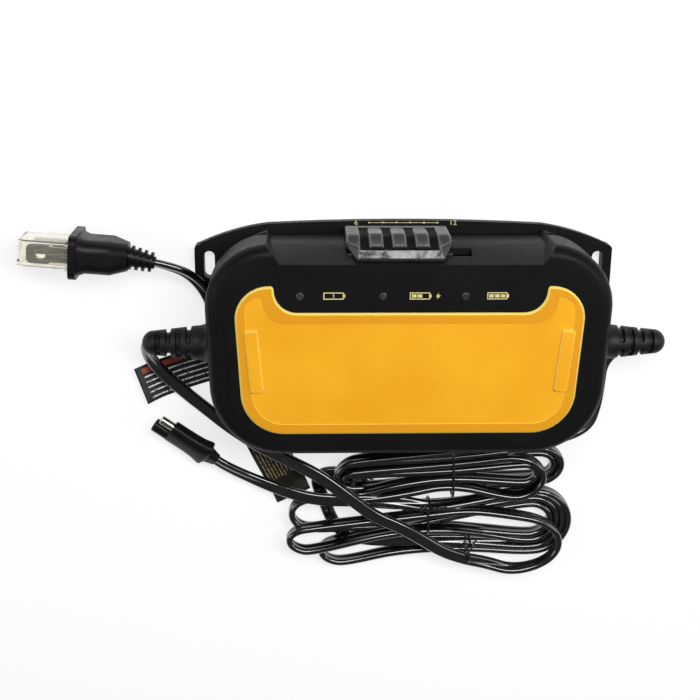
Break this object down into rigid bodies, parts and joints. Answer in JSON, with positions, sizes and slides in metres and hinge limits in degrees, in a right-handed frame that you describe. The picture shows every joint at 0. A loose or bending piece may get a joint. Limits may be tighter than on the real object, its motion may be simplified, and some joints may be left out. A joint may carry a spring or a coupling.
{
  "type": "car battery charger",
  "caption": "Slim battery charger with a voltage slide selector, status lamps, ribbed strain reliefs, mounting ears, mains plug and a polarised output connector.",
  "frame": {"origin": "on the table under the middle of the case with its strain reliefs, cords left out", "axes": "+Z out of the yellow face, +Y towards the side with the voltage selector, +X towards the mains side"},
  "size_m": [0.268, 0.1646, 0.0424],
  "materials": {
    "case_black": "satin moulded",
    "plate_yellow": "satin moulded",
    "lens_clear": "clear, unlit",
    "lamp_chip": "gloss",
    "selector_black": "gloss",
    "inner_black": "satin",
    "switch_metal": "satin",
    "board_green": "satin",
    "screw_steel": "zinc plated",
    "ferrite": "dull",
    "tape_yellow": "tape",
    "can_black": "sleeve",
    "copper": "enamelled",
    "sink_aluminium": "bare",
    "chip_black": "moulded",
    "fuse_glass": "clear",
    "contact_brass": "plated",
    "film_red": "dipped",
    "wire_white": "insulation",
    "relief_rubber": "soft moulded",
    "plug_black": "moulded",
    "contact_steel": "nickel plated",
    "cover_clear": "clear",
    "cord_black": "gloss vinyl",
    "tie_black": "gloss",
    "tag_card": "coated paper"
  },
  "bodies": {
    "charger": {"ac_body_lead": "cord_black", "ac_hank": "cord_black", "ac_hank_tie": "tie_black", "ac_plug_lead": "cord_black", "ac_strain_relief": "relief_rubber", "ac_wires": "wire_white", "back_shell": "case_black", "board_screws": "screw_steel", "bridge_rectifier": "chip_black", "case_screws": "screw_steel", "choke_core": "ferrite", "choke_winding": "copper", "circuit_board": "board_green", "control_chip": "chip_black", "cord_tag_left": "tag_card", "cord_tag_lower": "tag_card", "dc_body_lead": "cord_black", "dc_connector_body": "plug_black", "dc_connector_lead": "cord_black", "dc_connector_pin": "contact_steel", "dc_connector_socket": "contact_steel", "dc_hank": "cord_black", "dc_hank_second_tie": "tie_black", "dc_hank_tie": "tie_black", "dc_strain_relief": "relief_rubber", "dc_wires": "wire_white", "diode_heat_sink": "sink_aluminium", "face_plate": "plate_yellow", "film_capacitor": "film_red", "front_shell": "case_black", "fuse": "fuse_glass", "fuse_clips": "contact_brass", "heat_sink": "sink_aluminium", "input_capacitor": "can_black", "led_lens_left": "lens_clear", "led_lens_middle": "lens_clear", "led_lens_right": "lens_clear", "output_capacitors": "can_black", "output_diode": "chip_black", "plug_body": "plug_black", "plug_narrow_blade": "contact_steel", "plug_wide_blade": "contact_steel", "power_transistor": "chip_black", "status_leds": "lamp_chip", "transformer_core": "ferrite", "transformer_winding": "tape_yellow", "voltage_switch": "switch_metal"},
    "selector": {"selector_slider": "selector_black", "switch_actuator": "inner_black", "switch_lever": "inner_black"},
    "blade_cover": {"plug_blade_cover": "cover_clear"}
  },
  "joints": [
    {"name": "selector_slide", "type": "slide", "parent": "charger", "child": "selector", "axis": [1, 0, 0], "range_m": [0, 0.0075]},
    {"name": "blade_cover_pull", "type": "slide", "parent": "charger", "child": "blade_cover", "axis": [-0.9969, 0.0785, 0], "range_m": [0, 0.03]}
  ]
}
